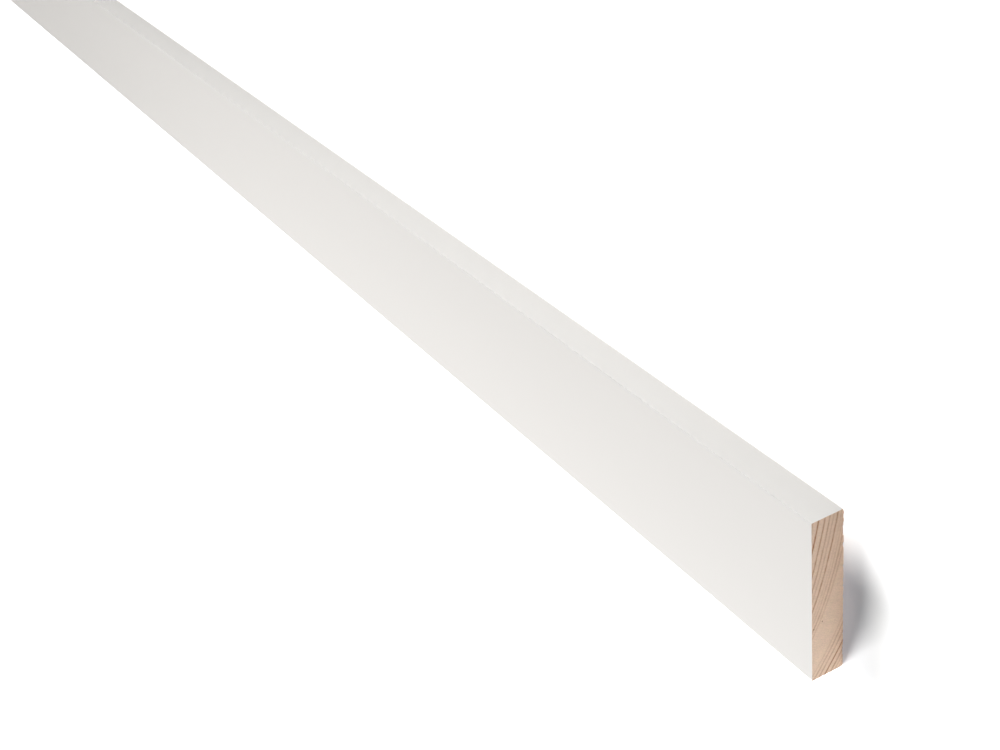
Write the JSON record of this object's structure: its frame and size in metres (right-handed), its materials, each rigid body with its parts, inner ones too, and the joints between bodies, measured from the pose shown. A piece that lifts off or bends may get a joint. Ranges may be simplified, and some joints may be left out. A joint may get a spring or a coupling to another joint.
{
  "type": "flat moulding",
  "caption": "Straight length of flat softwood moulding with square sawn ends and lightly eased long edges, painted white, for trimming walls, openings and floors.",
  "frame": {"origin": "middle of the back face, which is the face that the moulding lies on", "axes": "+X along the length, towards the end that the picture shows; +Y across the width, towards the long edge that is uppermost in the picture; +Z through the thickness, out of the painted face"},
  "size_m": [2.4, 0.06, 0.012],
  "materials": {
    "painted_pine": "planed pine with a smooth satin white paint on the face and both long edges, and bare sawn end grain"
  },
  "bodies": {
    "root": {"flat_moulding": "painted_pine"}
  },
  "joints": []
}
